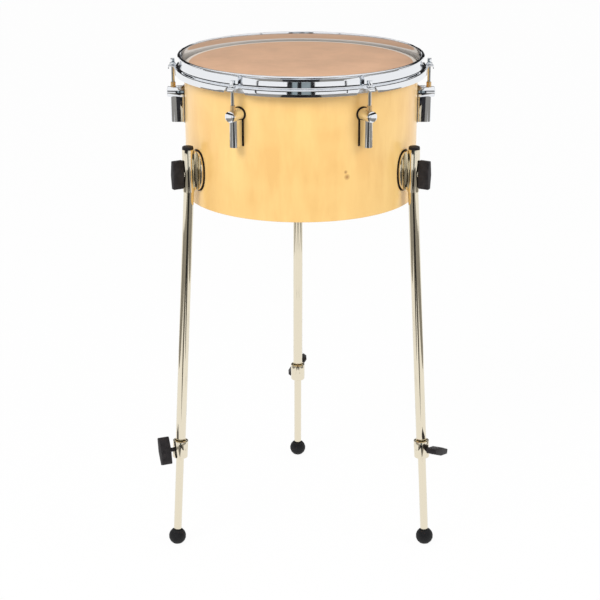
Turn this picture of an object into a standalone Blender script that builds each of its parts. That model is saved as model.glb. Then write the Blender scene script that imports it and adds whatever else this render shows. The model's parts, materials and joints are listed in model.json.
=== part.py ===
"""Kettledrum with a cylindrical wooden shell on three legs that splay outward.

Units are metres, +Z is up and the front of the drum faces -Y. The floor is z = 0.
Each piece at a lug or a leg is modelled at +X, as if its station stood there, and
its station then turns it round the drum's axis.
"""

import math

import bmesh
import bpy
from mathutils import Matrix, Vector

# How finely round pieces are divided
RING_SIDES = 72
TUBE_SIDES = 20
SMALL_SIDES = 16
BALL_RINGS = 8
BEND_RINGS = 3
SHARP_ANGLE = math.radians(35)

# Clearances
SEAT_GAP = 0.0003
ROD_HOLE_CLEARANCE = 0.00035
OVERLAP = 0.002

# Shell
SHELL_RADIUS = 0.165
SHELL_WALL = 0.0065
SHELL_DEPTH = 0.1875
STAND_HEIGHT = 0.5144
CREST_INSET = 0.0025
CREST_ROUNDING = 0.0040
CREST_CHAMFER = 0.0040
SHELL_FOOT_CHAMFER = 0.0008

# Drumhead and flesh hoop
FILM_THICKNESS = 0.0003
FILM_SIDE_CLEARANCE = 0.0033
FLESH_HOOP_DROP = 0.0061
FLESH_HOOP_WIDTH = 0.0062
FLESH_HOOP_HEIGHT = 0.0065

# Tension hoop
RIM_RISE = 0.0130
HOOP_METAL = 0.0017
HOOP_WALL_CLEARANCE = 0.0008
HOOP_SKIRT_CLEARANCE = 0.0012
HOOP_SKIRT_DEPTH = 0.0095
RIM_BEAD_RADIUS = 0.0016
HOOP_FILLET = 0.0022
NOTCH_TOP_WIDTH = 0.023
NOTCH_FOOT_WIDTH = 0.034
EAR_ROOT_WIDTH = 0.020
EAR_TIP_WIDTH = 0.012
EAR_HOOK_DEPTH = 0.0052

# Tension rods and swivel nuts
ROD_STANDOFF = 0.0163
ROD_DIAMETER = 0.0050
ROD_FLANGE_DIAMETER = 0.0090
ROD_FLANGE_THICKNESS = 0.0026
ROD_HEAD_WIDTH = 0.0056
ROD_HEAD_HEIGHT = 0.0062
ROD_END_CLEARANCE = 0.0110
NUT_WALL = 0.0007
NUT_RISE = 0.0066
NUT_DEPTH = 0.0060

# Lugs
LUG_ANGLES = {
    "right": 0.0,
    "rear_right": 60.0,
    "rear_left": 120.0,
    "left": 180.0,
    "front_left": 240.0,
    "front_right": 300.0,
}
LUG_DROP = 0.0422
LUG_GASKET_THICKNESS = 0.0010
LUG_GASKET_MARGIN = 0.0008
BARREL_BASE_DIAMETER = 0.0190
BARREL_TIP_DIAMETER = 0.0150
BARREL_REACH = 0.0095
BARREL_DOME = 0.0016
STEM_WIDTH = 0.0124
STEM_WALL = 0.0012
STEM_LENGTH = 0.0427

# Leg brackets
LEG_ANGLES = {"right": -30.0, "rear": 91.4, "left": 210.0}
BRACKET_RISE = 0.0521
BRACKET_WIDTH = 0.0352
BRACKET_HEIGHT = 0.0556
BRACKET_PLATE = 0.0034
BRACKET_ROUNDNESS = 2.4
BRACKET_GASKET_THICKNESS = 0.0010
BRACKET_GASKET_MARGIN = 0.0015
BRACKET_WEB_WIDTH = 0.0090
SLEEVE_WALL = 0.0006
SLEEVE_HEIGHT = 0.0600
SLEEVE_RISE = 0.0037
BRACKET_SCREW_DROP = 0.0030
BOSS_DIAMETER = 0.0086
BOSS_HEIGHT = 0.0028
CAP_HEIGHT = 0.0044
CAP_INSET = 0.0002
CAP_SPIGOT = 0.0060

# Legs
LEG_STANDOFF = 0.0155
LEG_SPLAY = math.radians(3.45)
LEG_TUBE_DIAMETER = 0.0146
LEG_TUBE_WALL = 0.0012
LEG_BEND_RADIUS = 0.045
LEG_BEND_CLEARANCE = 0.0004
COLLAR_HEIGHT_ABOVE_FLOOR = 0.1520
COLLAR_DIAMETER = 0.0222
COLLAR_LENGTH = 0.0260
COLLAR_SOCKET = 0.0085
COLLAR_RIM_WALL = 0.0010
COLLAR_COUNTERSINK = 0.0030
COLLAR_CHAMFER = 0.0010
LEG_ROD_DIAMETER = 0.0114
LEG_ROD_OVERLAP = 0.150
LEG_ROD_CHAMFER = 0.0010
BALL_DIAMETER = 0.0255
BALL_FLAT = 0.00055
BALL_SOCKET_FLOOR = 0.0040

# Wing screws
SCREW_DIAMETER = 0.0060
SCREW_HOLE_CLEARANCE = 0.0003
WING_LENGTH = 0.0400
WING_DEPTH = 0.0158
WING_MIDDLE_WIDTH = 0.0122
WING_END_WIDTH = 0.0072
WING_BEVEL = 0.0008
WING_RECESS_CLEARANCE = 0.0006
BRACKET_WING_CLEARANCE = 0.0005
COLLAR_WING_CLEARANCE = 0.0060
BRACKET_WING_TURNS = {"right": 0.0, "rear": 0.0, "left": 0.0}
COLLAR_WING_TURNS = {"right": 70.0, "rear": 38.5, "left": 22.5}

# Heights that follow from the sizes above
CREST_Z = STAND_HEIGHT + SHELL_DEPTH
HEAD_Z = CREST_Z + SEAT_GAP + FILM_THICKNESS
RIM_Z = HEAD_Z + RIM_RISE
FLESH_HOOP_Z = HEAD_Z - FLESH_HOOP_DROP
FLANGE_FOOT_Z = FLESH_HOOP_Z + SEAT_GAP
FLANGE_Z = FLANGE_FOOT_Z + HOOP_METAL
LUG_Z = CREST_Z - LUG_DROP
BRACKET_Z = STAND_HEIGHT + BRACKET_RISE
BRACKET_SCREW_Z = BRACKET_Z - BRACKET_SCREW_DROP
SLEEVE_TOP_Z = BRACKET_Z + BRACKET_HEIGHT / 2 + SLEEVE_RISE
SLEEVE_FOOT_Z = SLEEVE_TOP_Z - SLEEVE_HEIGHT

# Radii that follow from the sizes above
CREST_RADIUS = SHELL_RADIUS - CREST_INSET
FILM_SIDE_RADIUS = SHELL_RADIUS + FILM_SIDE_CLEARANCE
FLESH_HOOP_RADIUS = FILM_SIDE_RADIUS + FILM_THICKNESS + SEAT_GAP
HOOP_INNER_RADIUS = FILM_SIDE_RADIUS + FILM_THICKNESS + HOOP_WALL_CLEARANCE
HOOP_OUTER_RADIUS = HOOP_INNER_RADIUS + HOOP_METAL
SKIRT_INNER_RADIUS = FLESH_HOOP_RADIUS + FLESH_HOOP_WIDTH + HOOP_SKIRT_CLEARANCE
SKIRT_RADIUS = SKIRT_INNER_RADIUS + HOOP_METAL
ROD_CIRCLE = SHELL_RADIUS + ROD_STANDOFF
ROD_HOLE_DIAMETER = ROD_DIAMETER + 2 * ROD_HOLE_CLEARANCE
EAR_TIP_RADIUS = ROD_CIRCLE + ROD_FLANGE_DIAMETER / 2 + HOOP_METAL + SEAT_GAP
LUG_SEAT_RADIUS = SHELL_RADIUS + LUG_GASKET_THICKNESS + 2 * SEAT_GAP
NUT_BORE_RADIUS = ROD_DIAMETER / 2 + SEAT_GAP
NUT_RADIUS = NUT_BORE_RADIUS + NUT_WALL
NUT_SEAT_RADIUS = NUT_RADIUS + SEAT_GAP
STEM_RADIUS = ROD_CIRCLE + ROD_HOLE_DIAMETER / 2 + STEM_WALL
BRACKET_SEAT_RADIUS = SHELL_RADIUS + BRACKET_GASKET_THICKNESS + 2 * SEAT_GAP
BRACKET_FACE_RADIUS = BRACKET_SEAT_RADIUS + BRACKET_PLATE
LEG_RADIUS = SHELL_RADIUS + LEG_STANDOFF
SLEEVE_BORE_RADIUS = LEG_TUBE_DIAMETER / 2 + SEAT_GAP
SLEEVE_RADIUS = SLEEVE_BORE_RADIUS + SLEEVE_WALL
SCREW_HOLE_RADIUS = SCREW_DIAMETER / 2 + SCREW_HOLE_CLEARANCE
BRACKET_WING_REACH = SLEEVE_RADIUS + BRACKET_WING_CLEARANCE
COLLAR_WING_REACH = COLLAR_DIAMETER / 2 + COLLAR_WING_CLEARANCE

# The bend of a leg: the point where its two straight runs would cross
BEND_TANGENT = LEG_BEND_RADIUS * math.tan(LEG_SPLAY / 2)
BEND_Z = SLEEVE_FOOT_Z - LEG_BEND_CLEARANCE - BEND_TANGENT
BALL_CENTRE_Z = BALL_DIAMETER / 2 - BALL_FLAT
FOOT_DISTANCE = (BEND_Z - BALL_CENTRE_Z) / math.cos(LEG_SPLAY)
COLLAR_DISTANCE = (BEND_Z - COLLAR_HEIGHT_ABOVE_FLOOR) / math.cos(LEG_SPLAY)
COLLAR_TOP = COLLAR_DISTANCE - COLLAR_LENGTH / 2
TUBE_END = COLLAR_TOP + COLLAR_SOCKET - SEAT_GAP
ROD_TOP = COLLAR_TOP - LEG_ROD_OVERLAP

# The drum's axis stands where the whole object's box is centred on the origin
REAR_REACH = (
    LEG_RADIUS
    + COLLAR_DISTANCE * math.sin(LEG_SPLAY)
    + (COLLAR_WING_REACH + WING_DEPTH) * math.cos(LEG_SPLAY)
)
DRUM_AXIS_Y = (SKIRT_RADIUS - REAR_REACH) / 2


def clear_scene():
    for obj in list(bpy.data.objects):
        bpy.data.objects.remove(obj, do_unlink=True)


def make_material(name, colour, roughness, metallic=0.0):
    material = bpy.data.materials.new(name)
    material.use_nodes = True
    shader = material.node_tree.nodes["Principled BSDF"]
    shader.inputs["Base Color"].default_value = (*colour, 1.0)
    shader.inputs["Roughness"].default_value = roughness
    shader.inputs["Metallic"].default_value = metallic
    return material


def mesh_of(name, bm):
    bmesh.ops.recalc_face_normals(bm, faces=bm.faces[:])
    mesh = bpy.data.meshes.new(name)
    bm.to_mesh(mesh)
    bm.free()
    return mesh


def turned(name, outline, sides):
    """A closed section of (radius, height) points, spun once round the Z axis."""
    bm = bmesh.new()
    points = [bm.verts.new((radius, 0.0, height)) for radius, height in outline]
    edges = []
    for start, end in zip(points, points[1:] + points[:1]):
        if start.co.x > 0 or end.co.x > 0:
            edges.append(bm.edges.new((start, end)))
    bmesh.ops.spin(
        bm,
        geom=points + edges,
        cent=(0.0, 0.0, 0.0),
        axis=(0.0, 0.0, 1.0),
        angle=math.tau,
        steps=sides,
    )
    bmesh.ops.remove_doubles(bm, verts=bm.verts[:], dist=1e-6)
    return mesh_of(name, bm)


def cone(name, start, end, start_radius, end_radius, sides):
    """A solid cone or cylinder between two points."""
    start, end = Vector(start), Vector(end)
    along = end - start
    place = Matrix.Translation((start + end) / 2) @ along.to_track_quat("Z", "Y").to_matrix().to_4x4()
    bm = bmesh.new()
    bmesh.ops.create_cone(
        bm,
        cap_ends=True,
        segments=sides,
        radius1=start_radius,
        radius2=end_radius,
        depth=along.length,
        matrix=place,
    )
    return mesh_of(name, bm)


def cylinder(name, start, end, radius, sides):
    return cone(name, start, end, radius, radius, sides)


def box(name, low, high):
    low, high = Vector(low), Vector(high)
    size = Matrix.Diagonal((*(high - low), 1.0))
    bm = bmesh.new()
    bmesh.ops.create_cube(bm, size=1.0, matrix=Matrix.Translation((low + high) / 2) @ size)
    return mesh_of(name, bm)


def prism(name, outline, start, depth):
    """An outline of 3-D points moved from start by depth, which is a vector."""
    bm = bmesh.new()
    face = bm.faces.new([bm.verts.new(Vector(point) + Vector(start)) for point in outline])
    grown = bmesh.ops.extrude_face_region(bm, geom=[face])["geom"]
    moved = [item for item in grown if isinstance(item, bmesh.types.BMVert)]
    bmesh.ops.translate(bm, verts=moved, vec=Vector(depth))
    return mesh_of(name, bm)


def arc(centre, radius, first, last, steps):
    """Points (across, up) on an arc from the angle first to last, in degrees."""
    turns = [math.radians(first + (last - first) * step / steps) for step in range(steps + 1)]
    return [(centre[0] + radius * math.cos(a), centre[1] + radius * math.sin(a)) for a in turns]


def ring_copies(name, mesh, angles):
    """One mesh that holds a copy of another at each angle round the Z axis."""
    bm = bmesh.new()
    for angle in angles:
        copy = mesh.copy()
        copy.transform(Matrix.Rotation(math.radians(angle), 4, "Z"))
        bm.from_mesh(copy)
        bpy.data.meshes.remove(copy)
    return mesh_of(name, bm)


def shaped(name, base, join=(), cut=(), within=()):
    """The base with shapes joined to it, then cut from it, then kept only within others."""
    holder = bpy.data.objects.new(name, base)
    bpy.context.collection.objects.link(holder)
    tools = []
    for operation, shapes in (("UNION", join), ("DIFFERENCE", cut), ("INTERSECT", within)):
        for shape in shapes:
            tool = bpy.data.objects.new(shape.name, shape)
            bpy.context.collection.objects.link(tool)
            tools.append(tool)
            modifier = holder.modifiers.new(operation.lower(), "BOOLEAN")
            modifier.operation = operation
            modifier.solver = "EXACT"
            modifier.object = tool
    bpy.context.view_layer.update()
    graph = bpy.context.evaluated_depsgraph_get()
    mesh = bpy.data.meshes.new_from_object(holder.evaluated_get(graph))
    mesh.name = name
    for obj in [holder, *tools]:
        bpy.data.objects.remove(obj, do_unlink=True)
    return mesh


def frame_at(name, parent=None, location=(0.0, 0.0, 0.0), rotation=(0.0, 0.0, 0.0)):
    """An empty that other pieces hang on."""
    empty = bpy.data.objects.new(name, None)
    empty.empty_display_size = 0.02
    empty.parent = parent
    empty.location = location
    empty.rotation_euler = rotation
    bpy.context.collection.objects.link(empty)
    return empty


def place(name, mesh, material, parent, location=(0.0, 0.0, 0.0), rotation=(0.0, 0.0, 0.0)):
    """A named piece of the drum, shaded smooth between its sharp edges."""
    mesh.materials.clear()
    mesh.materials.append(material)
    mesh.shade_smooth()
    mesh.set_sharp_from_angle(angle=SHARP_ANGLE)
    obj = bpy.data.objects.new(name, mesh)
    obj.parent = parent
    obj.location = location
    obj.rotation_euler = rotation
    bpy.context.collection.objects.link(obj)
    return obj


def shell_mesh():
    inner = SHELL_RADIUS - SHELL_WALL
    rounding = SHELL_RADIUS - CREST_RADIUS
    crest = [
        (CREST_RADIUS + rounding * math.sin(a), CREST_Z - CREST_ROUNDING * (1 - math.cos(a)))
        for a in (math.radians(turn) for turn in (0, 30, 60, 90))
    ]
    foot = [
        (SHELL_RADIUS, STAND_HEIGHT + SHELL_FOOT_CHAMFER),
        (SHELL_RADIUS - SHELL_FOOT_CHAMFER, STAND_HEIGHT),
        (inner + SHELL_FOOT_CHAMFER, STAND_HEIGHT),
        (inner, STAND_HEIGHT + SHELL_FOOT_CHAMFER),
    ]
    return turned("shell", crest + foot + [(inner, CREST_Z - CREST_CHAMFER)], RING_SIDES)


def film_mesh():
    """The head: flat over the crest, sloping down to a side wall inside the flesh hoop."""
    half = FILM_THICKNESS / 2
    side = FILM_SIDE_RADIUS + half
    foot = FLESH_HOOP_Z - FLESH_HOOP_HEIGHT
    middle = [
        (0.0, HEAD_Z - half),
        (CREST_RADIUS, HEAD_Z - half),
        (CREST_RADIUS + 0.25 * (side - CREST_RADIUS), HEAD_Z - half - 0.08 * FLESH_HOOP_DROP),
        (CREST_RADIUS + 0.88 * (side - CREST_RADIUS), HEAD_Z - half - 0.74 * FLESH_HOOP_DROP),
        (side, FLESH_HOOP_Z - half),
        (side, foot),
    ]
    return turned("drumhead", thickened(middle, half), RING_SIDES)


def thickened(middle, half):
    """A closed outline at the distance half on both sides of a line of points."""
    points = [Vector(point) for point in middle]
    upper, lower = [], []
    for index, point in enumerate(points):
        before = (point - points[index - 1]).normalized() if index else None
        after = (points[index + 1] - point).normalized() if index + 1 < len(points) else None
        sides = [Vector((-way.y, way.x)) for way in (before, after) if way is not None]
        across = sum(sides, Vector((0.0, 0.0))).normalized()
        across *= half / across.dot(sides[0])
        upper.append(tuple(point + across))
        lower.append(tuple(point - across))
    return upper + lower[::-1]


def flesh_hoop_mesh():
    outer = FLESH_HOOP_RADIUS + FLESH_HOOP_WIDTH
    foot = FLESH_HOOP_Z - FLESH_HOOP_HEIGHT
    outline = [
        (FLESH_HOOP_RADIUS, FLESH_HOOP_Z),
        (outer, FLESH_HOOP_Z),
        (outer, foot),
        (FLESH_HOOP_RADIUS, foot),
    ]
    return turned("flesh_hoop", outline, RING_SIDES)


def hoop_outline():
    """The hoop's section: a beaded rim, an upright wall, a flange and a skirt."""
    bead_centre = (HOOP_OUTER_RADIUS + RIM_BEAD_RADIUS, RIM_Z - RIM_BEAD_RADIUS)
    bead = arc(bead_centre, RIM_BEAD_RADIUS, 90, -120, 5)
    bead.append((HOOP_OUTER_RADIUS, RIM_Z - 2.5 * RIM_BEAD_RADIUS))
    fillet_centre = (HOOP_OUTER_RADIUS + HOOP_FILLET, FLANGE_Z + HOOP_FILLET)
    fillet = arc(fillet_centre, HOOP_FILLET, 180, 270, 2)
    shoulder_centre = (SKIRT_RADIUS - HOOP_METAL, FLANGE_FOOT_Z)
    shoulder = arc(shoulder_centre, HOOP_METAL, 90, 0, 2)
    skirt_foot = FLANGE_Z - HOOP_SKIRT_DEPTH
    inside = [
        (SKIRT_RADIUS, skirt_foot),
        (SKIRT_INNER_RADIUS, skirt_foot),
        (SKIRT_INNER_RADIUS, FLANGE_FOOT_Z),
        (HOOP_INNER_RADIUS, FLANGE_FOOT_Z),
        (HOOP_INNER_RADIUS, RIM_Z - HOOP_METAL / 2),
        (HOOP_INNER_RADIUS + HOOP_METAL / 2, RIM_Z),
    ]
    return bead + fillet + shoulder + inside


def ear_mesh():
    """One ear, with the turned-down edge that hooks outside the rod."""
    inset = HOOP_METAL / 12
    top, foot = FLANGE_Z - inset, FLANGE_FOOT_Z + inset
    root = SKIRT_RADIUS - HOOP_METAL - OVERLAP
    bend = arc((EAR_TIP_RADIUS - HOOP_METAL, FLANGE_FOOT_Z), HOOP_METAL - inset, 90, 0, 3)
    hook = FLANGE_Z - EAR_HOOK_DEPTH
    section = [(root, foot), (root, top), *bend]
    section += [(EAR_TIP_RADIUS - inset, hook), (EAR_TIP_RADIUS - HOOP_METAL, hook)]
    section += [(EAR_TIP_RADIUS - HOOP_METAL, foot)]
    wide = EAR_ROOT_WIDTH
    bar = prism("ear", [(x, 0.0, z) for x, z in section], (0.0, -wide, 0.0), (0.0, 2 * wide, 0.0))
    corner = EAR_TIP_WIDTH / 4
    plan = [
        (root - OVERLAP, EAR_ROOT_WIDTH / 2),
        (SKIRT_RADIUS, EAR_ROOT_WIDTH / 2),
        (EAR_TIP_RADIUS - corner, EAR_TIP_WIDTH / 2),
        (EAR_TIP_RADIUS + OVERLAP, EAR_TIP_WIDTH / 2 - corner),
    ]
    plan += [(x, -y) for x, y in reversed(plan)]
    low = FLANGE_Z - EAR_HOOK_DEPTH - OVERLAP
    height = (0.0, 0.0, EAR_HOOK_DEPTH + 2 * OVERLAP)
    outline = prism("ear_plan", [(x, y, 0.0) for x, y in plan], (0.0, 0.0, low), height)
    return shaped("ear", bar, within=[outline])


def notch_mesh():
    """The cut in the skirt that leaves room for a rod below its ear."""
    top = FLANGE_FOOT_Z - SEAT_GAP
    foot = FLANGE_Z - HOOP_SKIRT_DEPTH
    slope = (NOTCH_FOOT_WIDTH - NOTCH_TOP_WIDTH) / 2 / (top - foot)
    low = foot - OVERLAP
    wide = NOTCH_FOOT_WIDTH / 2 + slope * OVERLAP
    outline = [
        (0.0, -NOTCH_TOP_WIDTH / 2, top),
        (0.0, NOTCH_TOP_WIDTH / 2, top),
        (0.0, wide, low),
        (0.0, -wide, low),
    ]
    depth = SKIRT_RADIUS - SKIRT_INNER_RADIUS + 2 * OVERLAP
    start = SKIRT_INNER_RADIUS - 1.5 * OVERLAP
    return prism("notch", outline, (start, 0.0, 0.0), (depth, 0.0, 0.0))


def hoop_mesh():
    angles = list(LUG_ANGLES.values())
    low = (ROD_CIRCLE, 0.0, FLANGE_FOOT_Z - OVERLAP)
    high = (ROD_CIRCLE, 0.0, FLANGE_Z + OVERLAP)
    hole = cylinder("rod_hole", low, high, ROD_HOLE_DIAMETER / 2, SMALL_SIDES)
    ears = ring_copies("ears", ear_mesh(), angles)
    notches = ring_copies("notches", notch_mesh(), angles)
    holes = ring_copies("rod_holes", hole, angles)
    ring = turned("tension_hoop", hoop_outline(), RING_SIDES)
    notched = shaped("tension_hoop", ring, cut=[notches])
    return shaped("tension_hoop", notched, join=[ears], cut=[holes])


def keyhole(margin):
    """The lug's outline on the shell: a round top over a straight strip."""
    radius = BARREL_BASE_DIAMETER / 2 + margin
    half = STEM_WIDTH / 2 + margin
    meet = math.degrees(math.asin(half / radius))
    top = arc((0.0, LUG_Z), radius, -90 + meet, 270 - meet, 14)
    foot = LUG_Z - STEM_LENGTH - margin
    return [(half, foot), *top, (-half, foot)]


def on_shell(name, outline, inner, outer):
    """A thin pad with the given outline (across, up), bent to lie between two radii."""
    start = inner - 2 * OVERLAP
    depth = outer - start + OVERLAP
    pad = prism(name, [(0.0, y, z) for y, z in outline], (start, 0.0, 0.0), (depth, 0.0, 0.0))
    heights = [z for _, z in outline]
    low, high = min(heights) - OVERLAP, max(heights) + OVERLAP
    section = [(inner, high), (outer, high), (outer, low), (inner, low)]
    return shaped(name, pad, within=[turned("band", section, RING_SIDES)])


def seat_cylinder(radius, low, high):
    """The round space that the back of a casting is cut to."""
    return cylinder("seat", (0.0, 0.0, low), (0.0, 0.0, high), radius, RING_SIDES)


def casing_mesh():
    """A lug: a tapered barrel pointing out, over a round-fronted stem."""
    back = LUG_SEAT_RADIUS - OVERLAP
    tip = ROD_CIRCLE + BARREL_REACH
    foot = LUG_Z - STEM_LENGTH
    base_radius = BARREL_BASE_DIAMETER / 2
    tip_radius = BARREL_TIP_DIAMETER / 2
    barrel_section = [
        (0.0, back),
        (base_radius, back),
        (tip_radius, tip - BARREL_DOME),
        (tip_radius * 0.72, tip - BARREL_DOME * 0.3),
        (0.0, tip),
    ]
    barrel = turned("lug_casing", barrel_section, TUBE_SIDES)
    barrel.transform(Matrix.Translation((0.0, 0.0, LUG_Z)) @ Matrix.Rotation(math.pi / 2, 4, "Y"))
    half = STEM_WIDTH / 2
    front = arc((STEM_RADIUS - half, 0.0), half, 90, -90, 8)
    plan = [(back, half), *front, (back, -half)]
    rise = STEM_LENGTH - tip_radius / 4
    stem = prism("stem", [(x, y, 0.0) for x, y in plan], (0.0, 0.0, foot), (0.0, 0.0, rise))
    seat = seat_cylinder(LUG_SEAT_RADIUS, foot - OVERLAP, LUG_Z + base_radius + OVERLAP)
    step = LUG_Z - NUT_DEPTH
    high = LUG_Z + base_radius + OVERLAP
    nut_bore = cylinder(
        "nut_bore", (ROD_CIRCLE, 0.0, step), (ROD_CIRCLE, 0.0, high), NUT_SEAT_RADIUS, SMALL_SIDES
    )
    low = (ROD_CIRCLE, 0.0, foot - OVERLAP)
    rod_bore = cylinder(
        "rod_bore", low, (ROD_CIRCLE, 0.0, step + OVERLAP), ROD_HOLE_DIAMETER / 2, SMALL_SIDES
    )
    return shaped("lug_casing", barrel, join=[stem], cut=[seat, nut_bore, rod_bore])


def nut_mesh():
    """The swivel nut, from its seat in the barrel to where it stands above it."""
    foot = LUG_Z - NUT_DEPTH + SEAT_GAP
    top = LUG_Z + BARREL_TIP_DIAMETER / 2 + NUT_RISE
    chamfer = NUT_WALL / 2
    outline = [
        (NUT_BORE_RADIUS, top),
        (NUT_RADIUS - chamfer, top),
        (NUT_RADIUS, top - chamfer),
        (NUT_RADIUS, foot),
        (NUT_BORE_RADIUS, foot),
    ]
    return turned("swivel_nut", outline, SMALL_SIDES)


def rod_mesh():
    """A tension rod with its flange and its square head."""
    radius = ROD_DIAMETER / 2
    flange_foot = FLANGE_Z + SEAT_GAP
    flange_top = flange_foot + ROD_FLANGE_THICKNESS
    foot = LUG_Z - STEM_LENGTH + ROD_END_CLEARANCE
    chamfer = radius / 3
    outline = [
        (0.0, flange_top),
        (ROD_FLANGE_DIAMETER / 2 - chamfer, flange_top),
        (ROD_FLANGE_DIAMETER / 2, flange_top - chamfer),
        (ROD_FLANGE_DIAMETER / 2, flange_foot),
        (radius, flange_foot),
        (radius, foot + chamfer),
        (radius - chamfer, foot),
        (0.0, foot),
    ]
    shaft = turned("tension_rod", outline, SMALL_SIDES)
    half = ROD_HEAD_WIDTH / 2
    low = (-half, -half, flange_top - ROD_FLANGE_THICKNESS / 2)
    head = box("rod_head", low, (half, half, flange_top + ROD_HEAD_HEIGHT))
    return shaped("tension_rod", shaft, join=[head])


def oval(margin):
    """The bracket's outline on the shell, as (across, up) points."""
    half_width = BRACKET_WIDTH / 2 + margin
    half_height = BRACKET_HEIGHT / 2 + margin
    power = 2 / BRACKET_ROUNDNESS
    points = []
    for step in range(28):
        turn = math.tau * step / 28
        across = math.copysign(abs(math.cos(turn)) ** power, math.cos(turn))
        up = math.copysign(abs(math.sin(turn)) ** power, math.sin(turn))
        points.append((half_width * across, BRACKET_Z + half_height * up))
    return points


def bracket_mesh():
    """A leg bracket: an oval plate, a web and the sleeve that takes the leg."""
    plate = on_shell("leg_bracket", oval(0.0), BRACKET_SEAT_RADIUS, BRACKET_FACE_RADIUS)
    half = BRACKET_WEB_WIDTH / 2
    web = box(
        "web",
        (BRACKET_FACE_RADIUS - BRACKET_PLATE / 2, -half, SLEEVE_FOOT_Z + OVERLAP),
        (LEG_RADIUS, half, SLEEVE_TOP_Z - 2 * OVERLAP),
    )
    low, high = (LEG_RADIUS, 0.0, SLEEVE_FOOT_Z), (LEG_RADIUS, 0.0, SLEEVE_TOP_Z)
    sleeve = cylinder("sleeve", low, high, SLEEVE_RADIUS, TUBE_SIDES)
    boss_end = LEG_RADIUS + SLEEVE_RADIUS + BOSS_HEIGHT
    centre = (LEG_RADIUS, 0.0, BRACKET_SCREW_Z)
    boss_face = (boss_end, 0.0, BRACKET_SCREW_Z)
    boss = cylinder("boss", centre, boss_face, BOSS_DIAMETER / 2, SMALL_SIDES)
    past = (boss_end + OVERLAP, 0.0, BRACKET_SCREW_Z)
    screw_hole = cylinder("screw_hole", centre, past, SCREW_HOLE_RADIUS, SMALL_SIDES)
    below = (LEG_RADIUS, 0.0, SLEEVE_FOOT_Z - OVERLAP)
    above = (LEG_RADIUS, 0.0, SLEEVE_TOP_Z + OVERLAP)
    bore = cylinder("sleeve_bore", below, above, SLEEVE_BORE_RADIUS, TUBE_SIDES)
    return shaped("leg_bracket", plate, join=[web, sleeve, boss], cut=[bore, screw_hole])


def cap_mesh():
    """The cap that closes a sleeve; its spigot is the leg's stop."""
    radius = SLEEVE_RADIUS - CAP_INSET
    spigot = SLEEVE_BORE_RADIUS - SEAT_GAP
    foot = SEAT_GAP
    rounding = CAP_HEIGHT / 4
    outline = [
        (0.0, CAP_HEIGHT),
        (radius - 2 * rounding, CAP_HEIGHT),
        (radius - rounding / 2, CAP_HEIGHT - rounding / 2),
        (radius, CAP_HEIGHT - 2 * rounding),
        (radius, foot),
        (spigot, foot),
        (spigot, -CAP_SPIGOT),
        (0.0, -CAP_SPIGOT),
    ]
    return turned("sleeve_cap", outline, TUBE_SIDES)


def wing_screw_mesh(name, reach, tip, recess_depth):
    """A wing screw along +X, whose wing starts at reach and whose shaft starts at tip."""
    half_end, half_middle = WING_END_WIDTH / 2, WING_MIDDLE_WIDTH / 2
    half_length = WING_LENGTH / 2
    outline = [
        (0.0, half_end, half_length),
        (0.0, half_middle, 0.0),
        (0.0, half_end, -half_length),
        (0.0, -half_end, -half_length),
        (0.0, -half_middle, 0.0),
        (0.0, -half_end, half_length),
    ]
    wing = prism(name, outline, (reach, 0.0, 0.0), (WING_DEPTH, 0.0, 0.0))
    bm = bmesh.new()
    bm.from_mesh(wing)
    bmesh.ops.bevel(bm, geom=bm.edges[:], offset=WING_BEVEL, segments=1, affect="EDGES")
    bm.to_mesh(wing)
    bm.free()
    cuts = []
    if recess_depth:
        radius = BOSS_DIAMETER / 2 + WING_RECESS_CLEARANCE
        mouth, end = (reach - OVERLAP, 0.0, 0.0), (reach + recess_depth, 0.0, 0.0)
        cuts.append(cylinder("recess", mouth, end, radius, SMALL_SIDES))
    end = (reach + WING_DEPTH / 2 + recess_depth / 2, 0.0, 0.0)
    shaft = cylinder("screw", (tip, 0.0, 0.0), end, SCREW_DIAMETER / 2, SMALL_SIDES)
    hollowed = shaped(name, wing, cut=cuts)
    return shaped(name, hollowed, join=[shaft])


def leg_path():
    """The leg tube's centre line from its top down, as (point, direction turned by)."""
    top = SLEEVE_TOP_Z - CAP_SPIGOT - SEAT_GAP - BEND_Z
    path = [(Vector((0.0, 0.0, top)), 0.0)]
    centre = Vector((LEG_BEND_RADIUS, 0.0, BEND_TANGENT))
    for step in range(BEND_RINGS + 1):
        turn = LEG_SPLAY * step / BEND_RINGS
        spoke = Vector((math.cos(turn), 0.0, math.sin(turn)))
        path.append((centre - LEG_BEND_RADIUS * spoke, turn))
    end = Vector((math.sin(LEG_SPLAY), 0.0, -math.cos(LEG_SPLAY))) * TUBE_END
    path.append((end, LEG_SPLAY))
    return path


def leg_tube_mesh():
    """The bent upper tube, hollow from end to end."""
    bm = bmesh.new()
    rings = []
    outer = LEG_TUBE_DIAMETER / 2
    path = leg_path()
    for radius, run in ((outer, path), (outer - LEG_TUBE_WALL, path[::-1])):
        for point, turn in run:
            at = Matrix.Translation(point) @ Matrix.Rotation(-turn, 4, "Y")
            made = bmesh.ops.create_circle(bm, segments=TUBE_SIDES, radius=radius, matrix=at)
            rings.append(made["verts"])
    for edge in bm.edges[:]:
        bm.edges.remove(edge)
    for first, second in zip(rings, rings[1:] + rings[:1]):
        for side in range(TUBE_SIDES):
            bm.faces.new((first[side - 1], first[side], second[side], second[side - 1]))
    return mesh_of("leg_tube", bm)


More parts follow.
